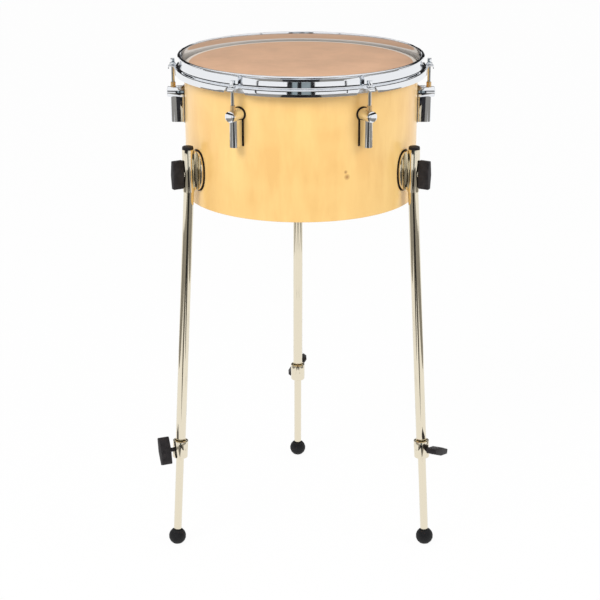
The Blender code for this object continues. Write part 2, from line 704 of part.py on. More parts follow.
def collar_mesh():
    """The height collar, round the local origin: a socket for the tube over a rod bore."""
    outer = COLLAR_DIAMETER / 2
    top, foot = COLLAR_LENGTH / 2, -COLLAR_LENGTH / 2
    socket = LEG_TUBE_DIAMETER / 2 + SEAT_GAP
    bore = LEG_ROD_DIAMETER / 2 + SEAT_GAP
    shoulder = top - COLLAR_SOCKET
    outline = [
        (outer - COLLAR_RIM_WALL, top),
        (outer, top),
        (outer, foot + COLLAR_CHAMFER),
        (outer - COLLAR_CHAMFER, foot),
        (bore, foot),
        (bore, shoulder),
        (socket, shoulder),
        (socket, top - COLLAR_COUNTERSINK),
    ]
    ring = turned("height_collar", outline, TUBE_SIDES)
    end = (outer + OVERLAP, 0.0, 0.0)
    hole = cylinder("screw_hole", (0.0, 0.0, 0.0), end, SCREW_HOLE_RADIUS, SMALL_SIDES)
    return shaped("height_collar", ring, cut=[hole])


def leg_rod_mesh():
    """The lower rod, from inside the tube down into its foot."""
    radius = LEG_ROD_DIAMETER / 2
    end = -(FOOT_DISTANCE - BALL_DIAMETER / 2 + BALL_SOCKET_FLOOR * 2)
    outline = [
        (0.0, -ROD_TOP),
        (radius - LEG_ROD_CHAMFER, -ROD_TOP),
        (radius, -ROD_TOP - LEG_ROD_CHAMFER),
        (radius, end),
        (0.0, end),
    ]
    return turned("leg_rod", outline, TUBE_SIDES)


def ball_mesh():
    """A rubber ball with a socket for the rod and a small flat where it stands."""
    radius = BALL_DIAMETER / 2
    low = math.degrees(math.asin((BALL_FLAT - radius) / radius))
    outline = [(0.0, radius * math.sin(math.radians(low)))]
    outline += arc((0.0, 0.0), radius, low, 90, BALL_RINGS)[:-1] + [(0.0, radius)]
    ball = turned("ball_foot", outline, TUBE_SIDES)
    way = Vector((-math.sin(LEG_SPLAY), 0.0, math.cos(LEG_SPLAY)))
    floor = radius - 2 * BALL_SOCKET_FLOOR - SEAT_GAP
    socket = cylinder(
        "socket",
        way * floor,
        way * (radius + OVERLAP),
        LEG_ROD_DIAMETER / 2 + SEAT_GAP,
        TUBE_SIDES,
    )
    return shaped("ball_foot", ball, cut=[socket])


def build_drum(axis, finishes):
    place("shell", shell_mesh(), finishes["wood"], axis)
    place("drumhead", film_mesh(), finishes["film"], axis)
    place("flesh_hoop", flesh_hoop_mesh(), finishes["aluminium"], axis)
    place("tension_hoop", hoop_mesh(), finishes["chrome"], axis)


def build_lugs(axis, finishes):
    casing, nut, rod = casing_mesh(), nut_mesh(), rod_mesh()
    inner = SHELL_RADIUS + SEAT_GAP
    outer = inner + LUG_GASKET_THICKNESS
    gasket = on_shell("lug_gasket", keyhole(LUG_GASKET_MARGIN), inner, outer)
    for side, angle in LUG_ANGLES.items():
        station = frame_at(f"lug_station_{side}", axis, rotation=(0.0, 0.0, math.radians(angle)))
        on_rod = (ROD_CIRCLE, 0.0, 0.0)
        place(f"lug_gasket_{side}", gasket, finishes["gasket"], station)
        place(f"lug_casing_{side}", casing, finishes["chrome"], station)
        place(f"swivel_nut_{side}", nut, finishes["brass"], station, on_rod)
        place(f"tension_rod_{side}", rod, finishes["chrome"], station, on_rod)


def build_legs(axis, finishes):
    inner = SHELL_RADIUS + SEAT_GAP
    outer = inner + BRACKET_GASKET_THICKNESS
    gasket = on_shell("bracket_gasket", oval(BRACKET_GASKET_MARGIN), inner, outer)
    bracket, cap = bracket_mesh(), cap_mesh()
    tube, collar, rod, ball = leg_tube_mesh(), collar_mesh(), leg_rod_mesh(), ball_mesh()
    tube_tip = LEG_TUBE_DIAMETER / 2 + SEAT_GAP
    recess = BOSS_HEIGHT + WING_RECESS_CLEARANCE - BRACKET_WING_CLEARANCE
    bracket_screw = wing_screw_mesh("bracket_wing_screw", BRACKET_WING_REACH, tube_tip, recess)
    rod_tip = LEG_ROD_DIAMETER / 2 + SEAT_GAP
    collar_screw = wing_screw_mesh("collar_wing_screw", COLLAR_WING_REACH, rod_tip, 0.0)
    for side, angle in LEG_ANGLES.items():
        station = frame_at(f"leg_station_{side}", axis, rotation=(0.0, 0.0, math.radians(angle)))
        place(f"bracket_gasket_{side}", gasket, finishes["gasket"], station)
        place(f"leg_bracket_{side}", bracket, finishes["nickel"], station)
        place(f"sleeve_cap_{side}", cap, finishes["plastic"], station, (LEG_RADIUS, 0.0, SLEEVE_TOP_Z))
        turn = (math.radians(BRACKET_WING_TURNS[side]), 0.0, 0.0)
        at = (LEG_RADIUS, 0.0, BRACKET_SCREW_Z)
        place(f"bracket_wing_screw_{side}", bracket_screw, finishes["plastic"], station, at, turn)
        bend = (LEG_RADIUS, 0.0, BEND_Z)
        place(f"leg_tube_{side}", tube, finishes["nickel"], station, bend)
        splay = frame_at(f"leg_splay_{side}", station, bend, (0.0, -LEG_SPLAY, 0.0))
        down = (0.0, 0.0, -COLLAR_DISTANCE)
        place(f"height_collar_{side}", collar, finishes["nickel"], splay, down)
        turn = (math.radians(COLLAR_WING_TURNS[side]), 0.0, 0.0)
        place(f"collar_wing_screw_{side}", collar_screw, finishes["plastic"], splay, down, turn)
        place(f"leg_rod_{side}", rod, finishes["nickel"], splay)
        foot = (LEG_RADIUS + FOOT_DISTANCE * math.sin(LEG_SPLAY), 0.0, BALL_CENTRE_Z)
        place(f"ball_foot_{side}", ball, finishes["rubber"], station, foot)


def main():
    clear_scene()
    finishes = {
        "wood": make_material("maple", (0.90, 0.62, 0.30), 0.32),
        "film": make_material("head_film", (0.63, 0.41, 0.28), 0.45),
        "chrome": make_material("chrome", (0.80, 0.82, 0.86), 0.08, 1.0),
        "nickel": make_material("nickel", (0.80, 0.74, 0.62), 0.18, 1.0),
        "aluminium": make_material("aluminium", (0.75, 0.76, 0.78), 0.35, 1.0),
        "brass": make_material("brass", (0.70, 0.48, 0.24), 0.30, 1.0),
        "plastic": make_material("black_plastic", (0.045, 0.038, 0.042), 0.55),
        "gasket": make_material("gasket", (0.03, 0.016, 0.012), 0.70),
        "rubber": make_material("rubber", (0.018, 0.018, 0.020), 0.60),
    }
    axis = frame_at("drum_axis", location=(0.0, DRUM_AXIS_Y, 0.0))
    build_drum(axis, finishes)
    build_lugs(axis, finishes)
    build_legs(axis, finishes)


main()
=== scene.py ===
"""Dresses the kettledrum's frame with fine surfaces, and sets it on a pale studio floor."""

import json
import math

import bpy
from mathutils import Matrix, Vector


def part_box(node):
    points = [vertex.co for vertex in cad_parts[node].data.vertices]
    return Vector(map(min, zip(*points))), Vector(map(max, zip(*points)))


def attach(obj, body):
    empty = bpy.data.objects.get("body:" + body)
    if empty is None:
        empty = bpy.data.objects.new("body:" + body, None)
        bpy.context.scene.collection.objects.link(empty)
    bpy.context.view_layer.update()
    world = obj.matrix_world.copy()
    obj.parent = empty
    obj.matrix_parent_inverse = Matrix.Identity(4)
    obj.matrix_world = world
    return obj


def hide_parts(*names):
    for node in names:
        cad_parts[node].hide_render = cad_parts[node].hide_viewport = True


bl_info = {
    "name": "Kettledrum",
    "version": (1, 0, 0),
    "blender": (4, 5, 0),
    "location": "3D View > Sidebar > Kettledrum",
    "description": "Dresses a kettledrum's frame with wood, film, chrome and rubber",
    "category": "Object",
}

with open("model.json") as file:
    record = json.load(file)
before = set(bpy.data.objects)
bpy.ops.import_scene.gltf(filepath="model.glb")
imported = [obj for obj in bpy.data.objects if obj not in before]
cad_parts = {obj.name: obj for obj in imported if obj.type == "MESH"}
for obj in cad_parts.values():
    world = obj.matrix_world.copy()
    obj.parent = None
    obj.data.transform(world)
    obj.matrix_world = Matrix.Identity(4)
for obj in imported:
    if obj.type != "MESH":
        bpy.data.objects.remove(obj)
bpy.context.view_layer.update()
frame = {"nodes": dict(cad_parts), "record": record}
RECORD = frame["record"]
BODY_OF = {node: body for body, nodes in RECORD["behaviour"]["bodies"].items() for node in nodes}
SLOT_OF = {part["node"]: part["material_slot"] for part in RECORD["subparts"]}

# Meshes
MERGE_DISTANCE = 1e-5
FLAT_ANGLE = math.radians(1)
SMOOTH_ANGLE = math.radians(34)
BEVEL_SEGMENTS = 2
RING_SIDES = 192

# Shell, seen from the side: turns are in degrees, up from straight outwards
CREST_TURN = 60
CREST_STEPS = 5
FOOT_STEPS = 4

# Finishes that no property holds
ALUMINIUM = (0.75, 0.76, 0.78)
BRASS = (0.70, 0.48, 0.24)
GASKET_RUBBER = (0.012, 0.007, 0.005)
FOOT_RUBBER = (0.006, 0.006, 0.007)
KNOT = (0.33, 0.14, 0.035)
# Painted highlight on the head: a pale ring painted round the film's rim, between these distances
# from its crown
FILM_RIM_HIGHLIGHT = (0.86, 0.78, 0.69)
FILM_RIM_HIGHLIGHT_START = 0.1575
FILM_RIM_HIGHLIGHT_END = 0.1590
# Knots in the shell: degrees to the right of the front, height and radius
KNOTS = ((22.1, 0.575, 0.0022), (21.4, 0.582, 0.0014))

# Studio
MATT = 0.9
FLOOR_SIZE = 60.0
FLOOR_GLOW = 0.96
SENSOR_WIDTH = 36.0
CAMERA_SIDE = -0.0014
BLACK_CLOTH = (0.012, 0.012, 0.014)
GREY_FELT = (0.25, 0.24, 0.22)
BLUE_BOARD = (0.30, 0.36, 0.38)
# Lamps: name, place, size and share of the main lamp's power
LAMPS = (
    ("key_lamp", (-1.6, -2.0, 2.6), 1.6, 1.0),
    ("fill_lamp", (2.0, -1.2, 1.8), 1.4, 0.4),
)
LAMP_AIM = (0.0, 0.0, 0.5)
# Upright cards: name, place, width, height and cloth
CARDS = (
    ("front_board", (0.02, -3.35, 1.0), 1.34, 2.0, "card_board"),
    ("front_card_left", (-0.58, -3.32, 1.0), 0.26, 2.0, "card_cloth"),
    ("front_card_middle", (-0.08, -3.32, 1.0), 0.20, 2.0, "card_cloth"),
    ("front_card_right", (0.60, -3.32, 1.0), 0.22, 2.0, "card_cloth"),
    ("left_card", (-2.15, -2.65, 1.0), 0.10, 2.0, "card_cloth"),
    ("right_card", (2.20, -2.60, 1.0), 0.10, 2.0, "card_cloth"),
    ("rear_card_left", (-1.45, 4.0, 0.75), 0.8, 0.9, "card_cloth"),
    ("rear_card_right", (1.45, 4.0, 0.75), 0.8, 0.9, "card_cloth"),
)
# Grey sheets on the floor: name and two corners
SHEETS = (
    ("far_felt", (-1.7, -2.30), (1.7, -1.15)),
    ("left_felt", (-1.9, -1.15), (-0.70, 0.35)),
    ("right_felt", (0.70, -1.15), (1.9, 0.35)),
)
SHEET_HEIGHT = 0.002
# Wedges on the floor: name, side, turn outwards, half width, height and cloth
WEDGES = (
    ("left_strip", -1, 0.0, 0.85, 0.006, "card_cloth"),
    ("right_strip", 1, 0.0, 0.85, 0.006, "card_cloth"),
    ("left_wedge", -1, 0.42, 1.0, 0.004, "card_felt"),
    ("right_wedge", 1, 0.42, 1.0, 0.004, "card_felt"),
)
WEDGE_REACH = 1.9
WEDGE_ACROSS = 0.175
WEDGE_FRONT = -0.36
BAND_RADIUS = 4.5
BAND_SIDES = 64
BAND_LOW = 1.2
BAND_HIGH = 3.0


def middle(node):
    """The middle of a node's box, and its half sizes."""
    low, high = (Vector(corner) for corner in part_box(node))
    return (low + high) / 2, (high - low) / 2


DRUM_AXIS = middle("drumhead")[0]


class DrumSizes(bpy.types.PropertyGroup):
    """The shell's section, and how far the pieces' edges are rounded."""

    wall: bpy.props.FloatProperty(
        name="Shell wall", description="Thickness of the shell's wood", unit="LENGTH",
        min=0.002, default=0.0065,
    )
    crest: bpy.props.FloatProperty(
        name="Crest rounding", description="Radius of the shell's outer top edge", unit="LENGTH",
        min=0.001, default=0.0038,
    )
    peak: bpy.props.FloatProperty(
        name="Crest peak", description="From the shell's outer face to its highest line",
        unit="LENGTH", min=0.0005, default=0.0025,
    )
    slope: bpy.props.FloatProperty(
        name="Crest slope", description="How far the crest falls to the inner face", unit="LENGTH",
        min=0.0005, default=0.0042,
    )
    foot: bpy.props.FloatProperty(
        name="Lower edge", description="Rounding of the shell's lower edges", unit="LENGTH",
        min=0.0002, default=0.0014,
    )
    hoop_edge: bpy.props.FloatProperty(
        name="Hoop edges", description="Rounding on the tension hoop", unit="LENGTH",
        min=0.0, default=0.00025,
    )
    flesh_edge: bpy.props.FloatProperty(
        name="Flesh hoop edges", description="Rounding on the flesh hoop", unit="LENGTH",
        min=0.0, default=0.0006,
    )
    rod_edge: bpy.props.FloatProperty(
        name="Rod edges", description="Rounding on the tension rods", unit="LENGTH",
        min=0.0, default=0.0005,
    )
    nut_edge: bpy.props.FloatProperty(
        name="Nut edges", description="Rounding on the swivel nuts", unit="LENGTH",
        min=0.0, default=0.0001,
    )
    casing_edge: bpy.props.FloatProperty(
        name="Lug edges", description="Rounding on the lug casings", unit="LENGTH",
        min=0.0, default=0.0006,
    )
    thin_edge: bpy.props.FloatProperty(
        name="Thin edges", description="Rounding on the brackets and gaskets", unit="LENGTH",
        min=0.0, default=0.0002,
    )
    leg_edge: bpy.props.FloatProperty(
        name="Leg edges", description="Rounding on the tubes, collars, rods and feet",
        unit="LENGTH", min=0.0, default=0.0003,
    )
    moulded_edge: bpy.props.FloatProperty(
        name="Moulded edges", description="Rounding on the wing screws and caps", unit="LENGTH",
        min=0.0, default=0.0004,
    )


class DrumColours(bpy.types.PropertyGroup):
    """Colours of the drum, in linear values."""

    wood: bpy.props.FloatVectorProperty(
        name="Wood", description="Main colour of the shell", subtype="COLOR", size=3,
        min=0.0, max=1.0, default=(0.970, 0.645, 0.238),
    )
    wood_dark: bpy.props.FloatVectorProperty(
        name="Figure", description="Darker figure in the shell's wood", subtype="COLOR", size=3,
        min=0.0, max=1.0, default=(0.880, 0.530, 0.175),
    )
    film: bpy.props.FloatVectorProperty(
        name="Head", description="Colour of the head's film", subtype="COLOR", size=3,
        min=0.0, max=1.0, default=(0.655, 0.400, 0.250),
    )
    chrome: bpy.props.FloatVectorProperty(
        name="Chrome", description="Tint of the hoop, rods and lugs", subtype="COLOR", size=3,
        min=0.0, max=1.0, default=(0.830, 0.850, 0.880),
    )
    nickel: bpy.props.FloatVectorProperty(
        name="Nickel", description="Tint of the legs and their brackets", subtype="COLOR", size=3,
        min=0.0, max=1.0, default=(0.800, 0.730, 0.580),
    )
    plastic: bpy.props.FloatVectorProperty(
        name="Plastic", description="Colour of the wing screws and caps", subtype="COLOR", size=3,
        min=0.0, max=1.0, default=(0.014, 0.012, 0.013),
    )


class StageSettings(bpy.types.PropertyGroup):
    """The studio round the drum."""

    floor: bpy.props.FloatVectorProperty(
        name="Floor", description="Colour of the studio floor", subtype="COLOR", size=3,
        min=0.0, max=1.0, default=(0.97, 0.97, 0.97),
    )
    world: bpy.props.FloatProperty(
        name="Sky", description="Strength of the soft light from all round", min=0.0, default=0.58,
    )
    key: bpy.props.FloatProperty(
        name="Key lamp", description="Power of the main lamp", subtype="POWER", min=0.0, default=54.0,
    )
    distance: bpy.props.FloatProperty(
        name="Camera distance", description="From the drum's axis, along the floor", unit="LENGTH",
        min=0.5, default=2.2938,
    )
    height: bpy.props.FloatProperty(
        name="Camera height", description="Above the floor", unit="LENGTH", min=0.1, default=1.1439,
    )
    pitch: bpy.props.FloatProperty(
        name="Camera pitch", description="How far the camera looks down", subtype="ANGLE",
        default=math.radians(19.175),
    )
    lens: bpy.props.FloatProperty(
        name="Lens", description="Focal length", subtype="DISTANCE_CAMERA", min=10.0, default=98.25,
    )


def sizes():
    return bpy.context.scene.drum_sizes


def colours():
    return bpy.context.scene.drum_colours


# Materials


def new_material(name, colour, roughness, metallic=0.0):
    material = bpy.data.materials.new(name)
    material.use_nodes = True
    shader = material.node_tree.nodes["Principled BSDF"]
    shader.inputs["Base Color"].default_value = (*colour, 1.0)
    shader.inputs["Roughness"].default_value = roughness
    shader.inputs["Metallic"].default_value = metallic
    return material, material.node_tree, shader


def object_coordinates(tree, scale=(1.0, 1.0, 1.0)):
    place = tree.nodes.new("ShaderNodeTexCoord")
    mapping = tree.nodes.new("ShaderNodeMapping")
    mapping.inputs["Scale"].default_value = scale
    tree.links.new(place.outputs["Object"], mapping.inputs["Vector"])
    return mapping.outputs["Vector"]


def noise(tree, vector, scale, detail, roughness=0.5):
    node = tree.nodes.new("ShaderNodeTexNoise")
    node.inputs["Scale"].default_value = scale
    node.inputs["Detail"].default_value = detail
    node.inputs["Roughness"].default_value = roughness
    tree.links.new(vector, node.inputs["Vector"])
    return node.outputs["Fac"]


def distance_from(tree, point):
    """How far the surface lies from a point of the drum."""
    place = tree.nodes.new("ShaderNodeTexCoord")
    away = tree.nodes.new("ShaderNodeVectorMath")
    away.operation = "DISTANCE"
    away.inputs[1].default_value = point
    tree.links.new(place.outputs["Object"], away.inputs[0])
    return away.outputs["Value"]


def ramp(tree, factor, low, high, low_value, high_value):
    """A factor that runs from low to high, brought to run between two other values."""
    node = tree.nodes.new("ShaderNodeMapRange")
    node.inputs["From Min"].default_value = low
    node.inputs["From Max"].default_value = high
    node.inputs["To Min"].default_value = low_value
    node.inputs["To Max"].default_value = high_value
    tree.links.new(factor, node.inputs["Value"])
    return node.outputs["Result"]


def mixed(tree, factor, first, second):
    """The first colour where the factor is nought, and the second where it is one."""
    node = tree.nodes.new("ShaderNodeMix")
    node.data_type = "RGBA"
    tree.links.new(factor, node.inputs["Factor"])
    for socket, value in (("A", first), ("B", second)):
        target = [entry for entry in node.inputs if entry.name == socket and entry.type == "RGBA"][0]
        if isinstance(value, bpy.types.NodeSocket):
            tree.links.new(value, target)
        else:
            target.default_value = (*value, 1.0)
    return [entry for entry in node.outputs if entry.type == "RGBA"][0]


def bumped(tree, shader, height, strength, distance):
    node = tree.nodes.new("ShaderNodeBump")
    node.inputs["Strength"].default_value = strength
    node.inputs["Distance"].default_value = distance
    tree.links.new(height, node.inputs["Height"])
    tree.links.new(node.outputs["Normal"], shader.inputs["Normal"])


def wood_material():
    """Pale clear-lacquered wood with a faint upright figure, pores and two small knots."""
    look = colours()
    _, tree, shader = new_material("shell_wood", look.wood, roughness=0.34)
    figure = noise(
        tree, object_coordinates(tree, (9.0, 9.0, 2.2)), scale=3.2, detail=5.0, roughness=0.6
    )
    cloud = noise(tree, object_coordinates(tree, (4.0, 4.0, 7.0)), scale=2.0, detail=3.0)
    grain = noise(
        tree, object_coordinates(tree, (260.0, 260.0, 14.0)), scale=1.0, detail=4.0, roughness=0.65
    )
    light = tuple(min(1.0, value * 1.035) for value in look.wood)
    tone = mixed(tree, ramp(tree, figure, 0.36, 0.68, 0.0, 1.0), look.wood_dark, light)
    tone = mixed(tree, ramp(tree, cloud, 0.40, 0.62, 0.0, 0.55), tone, look.wood)
    tone = mixed(tree, ramp(tree, grain, 0.58, 0.80, 0.0, 0.30), tone, look.wood_dark)
    for turn, height, radius in KNOTS:
        tone = knotted(tree, tone, math.radians(turn), height, radius)
    tree.links.new(tone, shader.inputs["Base Color"])
    shader.inputs["Coat Weight"].default_value = 0.35
    shader.inputs["Coat Roughness"].default_value = 0.16
    bumped(tree, shader, grain, strength=0.06, distance=0.0002)


def knotted(tree, tone, turn, height, radius):
    """A small dark knot on the shell's face, at an angle to the right of its front."""
    reach = middle("shell")[1].x
    knot = (reach * math.sin(turn), DRUM_AXIS.y - reach * math.cos(turn), height)
    spot = ramp(tree, distance_from(tree, knot), radius * 0.4, radius * 2.2, 0.75, 0.0)
    return mixed(tree, spot, tone, KNOT)


def film_material():
    """Tan satin film, a little cloudy, with a painted highlight: a pale ring painted round its rim,
    where it bends down to its hoop.
    """
    look = colours()
    _, tree, shader = new_material("head_film", look.film, roughness=0.55)
    cloud = noise(tree, object_coordinates(tree), scale=16.0, detail=5.0, roughness=0.6)
    pale = tuple(min(1.0, value * 1.10) for value in look.film)
    deep = tuple(value * 0.93 for value in look.film)
    tone = mixed(tree, ramp(tree, cloud, 0.35, 0.65, 0.0, 1.0), deep, pale)
    crown = (DRUM_AXIS.x, DRUM_AXIS.y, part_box("drumhead")[1][2])
    # Painted highlight: the pale ring round the film's rim, where it bends down to its hoop
    edge = ramp(tree, distance_from(tree, crown), FILM_RIM_HIGHLIGHT_START, FILM_RIM_HIGHLIGHT_END, 0.0, 1.0)
    tree.links.new(mixed(tree, edge, tone, FILM_RIM_HIGHLIGHT), shader.inputs["Base Color"])
    fine = noise(tree, object_coordinates(tree), scale=900.0, detail=2.0)
    bumped(tree, shader, fine, strength=0.05, distance=0.0001)
    shader.inputs["Specular IOR Level"].default_value = 0.35


def plated_material(name, colour, roughness, haze):
    """Bright plating whose roughness drifts, with faint wipe marks."""
    _, tree, shader = new_material(name, colour, roughness, metallic=1.0)
    cloud = noise(tree, object_coordinates(tree), scale=55.0, detail=4.0, roughness=0.6)
    drift = ramp(tree, cloud, 0.3, 0.7, roughness, roughness + haze)
    tree.links.new(drift, shader.inputs["Roughness"])
    wipe = noise(tree, object_coordinates(tree, (600.0, 600.0, 90.0)), scale=1.0, detail=2.0)
    bumped(tree, shader, wipe, strength=0.015, distance=0.0001)


def moulded_material(name, colour, roughness, texture):
    """Moulded black plastic or rubber with a fine pebbled skin and paler wear."""
    _, tree, shader = new_material(name, colour, roughness)
    pebble = noise(tree, object_coordinates(tree), scale=texture, detail=3.0, roughness=0.6)
    cloud = noise(tree, object_coordinates(tree), scale=120.0, detail=4.0)
    pale = tuple(value * 1.7 + 0.004 for value in colour)
    shader.inputs["Specular IOR Level"].default_value = 0.28
    tone = mixed(tree, ramp(tree, cloud, 0.42, 0.72, 0.0, 1.0), colour, pale)
    tree.links.new(tone, shader.inputs["Base Color"])
    drift = ramp(tree, cloud, 0.3, 0.7, roughness - 0.06, roughness + 0.08)
    tree.links.new(drift, shader.inputs["Roughness"])
    bumped(tree, shader, pebble, strength=0.25, distance=0.0003)


def finishes():
    """Every finish, made once and kept by the record's slot names."""
    if "shell_wood" not in bpy.data.materials:
        look = colours()
        wood_material()
        film_material()
        plated_material("bright_chrome", look.chrome, roughness=0.03, haze=0.04)
        plated_material("warm_nickel", look.nickel, roughness=0.05, haze=0.05)
        plated_material("satin_aluminium", ALUMINIUM, roughness=0.30, haze=0.10)
        plated_material("aged_brass", BRASS, roughness=0.28, haze=0.12)
        moulded_material("black_plastic", look.plastic, roughness=0.50, texture=1500.0)
        moulded_material("gasket_rubber", GASKET_RUBBER, roughness=0.70, texture=900.0)
        moulded_material("foot_rubber", FOOT_RUBBER, roughness=0.60, texture=1100.0)
    names = {
        "wood": "shell_wood", "film": "head_film", "chrome": "bright_chrome", "nickel": "warm_nickel",
        "aluminium": "satin_aluminium", "brass": "aged_brass", "plastic": "black_plastic",
        "gasket": "gasket_rubber", "rubber": "foot_rubber",
    }
    return {slot: bpy.data.materials[name] for slot, name in names.items()}


# Modelling


def clear_selection():
    if bpy.context.object and bpy.context.object.mode != "OBJECT":
        bpy.ops.object.mode_set(mode="OBJECT")
    bpy.ops.object.select_all(action="DESELECT")


def take(obj):
    """Selects one object alone, and makes it the one that is worked on."""
    clear_selection()
    obj.select_set(True)
    bpy.context.view_layer.objects.active = obj


def settle(obj, name, node):
    """Gives a piece its name, finish and body, and lets it stand for its node."""
    take(obj)
    bpy.ops.object.transform_apply(location=True, rotation=True, scale=True)
    bpy.ops.object.shade_smooth_by_angle(angle=SMOOTH_ANGLE)
    obj.name = name
    obj.data.materials.clear()
    obj.data.materials.append(finishes()[SLOT_OF[node]])
    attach(obj, BODY_OF[node])
    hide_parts(node)


def softened(obj, width):
    """Rounds an object's sharp edges."""
    take(obj)
    modifier = obj.modifiers.new("edges", "BEVEL")
    modifier.width = width
    modifier.segments = BEVEL_SEGMENTS
    modifier.limit_method = "ANGLE"
    modifier.angle_limit = SMOOTH_ANGLE
    modifier.miter_outer = "MITER_ARC"
    bpy.ops.object.modifier_apply(modifier=modifier.name)


def merged_copy(node):
    """A copy of a node's mesh with its points merged and its flat faces joined."""
    obj = bpy.data.objects.new(node + "_copy", frame["nodes"][node].data.copy())
    bpy.context.scene.collection.objects.link(obj)
    take(obj)
    bpy.ops.object.mode_set(mode="EDIT")
    bpy.ops.mesh.select_all(action="SELECT")
    bpy.ops.mesh.remove_doubles(threshold=MERGE_DISTANCE)
    bpy.ops.mesh.dissolve_limited(angle_limit=FLAT_ANGLE)
    bpy.ops.object.mode_set(mode="OBJECT")
    return obj


def dress(start, edge):
    """Gives the nodes whose names start so their own shape, rounded edges and finish."""
    for node in [name for name in SLOT_OF if name.startswith(start)]:
        obj = merged_copy(node)
        if edge:
            softened(obj, edge)
        settle(obj, node + "_fine", node)


def turned(outline, sides, centre):
    """A ring turned from a closed outline of (radius, height) points."""
    clear_selection()
    radius, height = outline[0]
    bpy.ops.mesh.primitive_circle_add(
        vertices=sides, radius=radius, location=(centre.x, centre.y, height), enter_editmode=True
    )
    obj = bpy.context.object
    bpy.ops.mesh.select_all(action="SELECT")
    for next_radius, next_height in outline[1:]:
        bpy.ops.mesh.extrude_edges_move(
            TRANSFORM_OT_translate={"value": (0.0, 0.0, next_height - height)}
        )
        ratio = next_radius / radius
        bpy.ops.transform.resize(value=(ratio, ratio, 1.0))
        radius, height = next_radius, next_height
    bpy.ops.mesh.select_mode(type="EDGE")
    bpy.ops.mesh.select_all(action="DESELECT")
    bpy.ops.mesh.select_non_manifold()
    bpy.ops.mesh.bridge_edge_loops()
    bpy.ops.mesh.select_all(action="SELECT")
    bpy.ops.mesh.normals_make_consistent(inside=False)
    bpy.ops.object.mode_set(mode="OBJECT")
    return obj


def arc(across, up, radius, first, last, steps):
    """Points round a centre, from one turn in degrees to another."""
    turns = [math.radians(first + (last - first) * step / steps) for step in range(steps + 1)]
    return [(across + radius * math.cos(turn), up + radius * math.sin(turn)) for turn in turns]


# Pieces


class DRUM_OT_shell(bpy.types.Operator):
    """Makes the wooden shell, with its rounded crest and foot"""

    bl_idname = "kettledrum.shell"
    bl_label = "Shell"

    def execute(self, context):
        size = sizes()
        centre, half = middle("shell")
        outer, inner = half.x, half.x - size.wall
        top, low = centre.z + half.z, centre.z - half.z
        crest, foot = size.crest, size.foot
        outline = [(outer - size.peak, top)]
        outline += arc(outer - crest, top - crest, crest, CREST_TURN, 0, CREST_STEPS)
        outline += arc(outer - foot, low + foot, foot, 0, -90, FOOT_STEPS)
        outline += arc(inner + foot, low + foot, foot, -90, -180, FOOT_STEPS)
        outline += [(inner, top - size.slope)]
        settle(turned(outline, RING_SIDES, DRUM_AXIS), "shell_wood", "shell")
        return {"FINISHED"}


class DRUM_OT_head(bpy.types.Operator):
    """Makes the head and the ring that it is wrapped round"""

    bl_idname = "kettledrum.head"
    bl_label = "Head"

    def execute(self, context):
        dress("drumhead", 0.0)
        dress("flesh_hoop", sizes().flesh_edge)
        return {"FINISHED"}


class DRUM_OT_hoop(bpy.types.Operator):
    """Makes the tension hoop with its ears"""

    bl_idname = "kettledrum.hoop"
    bl_label = "Tension hoop"

    def execute(self, context):
        dress("tension_hoop", sizes().hoop_edge)
        return {"FINISHED"}


class DRUM_OT_rods(bpy.types.Operator):
    """Makes the tension rods and their swivel nuts"""

    bl_idname = "kettledrum.rods"
    bl_label = "Tension rods"

    def execute(self, context):
        dress("tension_rod", sizes().rod_edge)
        dress("swivel_nut", sizes().nut_edge)
        return {"FINISHED"}


class DRUM_OT_lugs(bpy.types.Operator):
    """Makes the lug casings and their gaskets"""

    bl_idname = "kettledrum.lugs"
    bl_label = "Lugs"

    def execute(self, context):
        dress("lug_casing", sizes().casing_edge)
        dress("lug_gasket", sizes().thin_edge)
        return {"FINISHED"}


class DRUM_OT_brackets(bpy.types.Operator):
    """Makes the leg brackets, their gaskets and the caps on their sleeves"""

    bl_idname = "kettledrum.brackets"
    bl_label = "Leg brackets"

    def execute(self, context):
        dress("leg_bracket", sizes().thin_edge)
        dress("bracket_gasket", sizes().thin_edge)
        dress("sleeve_cap", sizes().moulded_edge)
        return {"FINISHED"}


class DRUM_OT_legs(bpy.types.Operator):
    """Makes the leg tubes, height collars, lower rods and ball feet"""

    bl_idname = "kettledrum.legs"
    bl_label = "Legs"

    def execute(self, context):
        for start in ("leg_tube", "height_collar", "leg_rod", "ball_foot"):
            dress(start, sizes().leg_edge)
        return {"FINISHED"}


class DRUM_OT_wing_screws(bpy.types.Operator):
    """Makes the wing screws of the brackets and collars"""

    bl_idname = "kettledrum.wing_screws"
    bl_label = "Wing screws"

    def execute(self, context):
        for start in ("bracket_wing_screw", "collar_wing_screw"):
            dress(start, sizes().moulded_edge)
        return {"FINISHED"}


class DRUM_OT_stage(bpy.types.Operator):
    """Sets the floor, the soft lights and the camera"""

    bl_idname = "kettledrum.stage"
    bl_label = "Studio"

    def execute(self, context):
        stage = context.scene.drum_stage
        lay_floor(stage)
        light_room(stage)
        cloths = {
            name: new_material(name, colour, MATT)[0]
            for name, colour in (
                ("card_cloth", BLACK_CLOTH), ("card_felt", GREY_FELT), ("card_board", BLUE_BOARD),
            )
        }
        hang_cards(cloths)
        lay_sheets(cloths)
        raise_band(cloths)
        aim_camera(stage)
        context.scene.view_settings.view_transform = "Standard"
        return {"FINISHED"}


def seen_directly(tree):
    """One where a camera, mirror or glass ray looks, and nought for other rays."""
    path = tree.nodes.new("ShaderNodeLightPath")
    total = None
    for name in ("Is Camera Ray", "Is Glossy Ray", "Is Transmission Ray"):
        if total is None:
            total = path.outputs[name]
            continue
        both = tree.nodes.new("ShaderNodeMath")
        both.operation = "MAXIMUM"
        tree.links.new(total, both.inputs[0])
        tree.links.new(path.outputs[name], both.inputs[1])
        total = both.outputs[0]
    return total


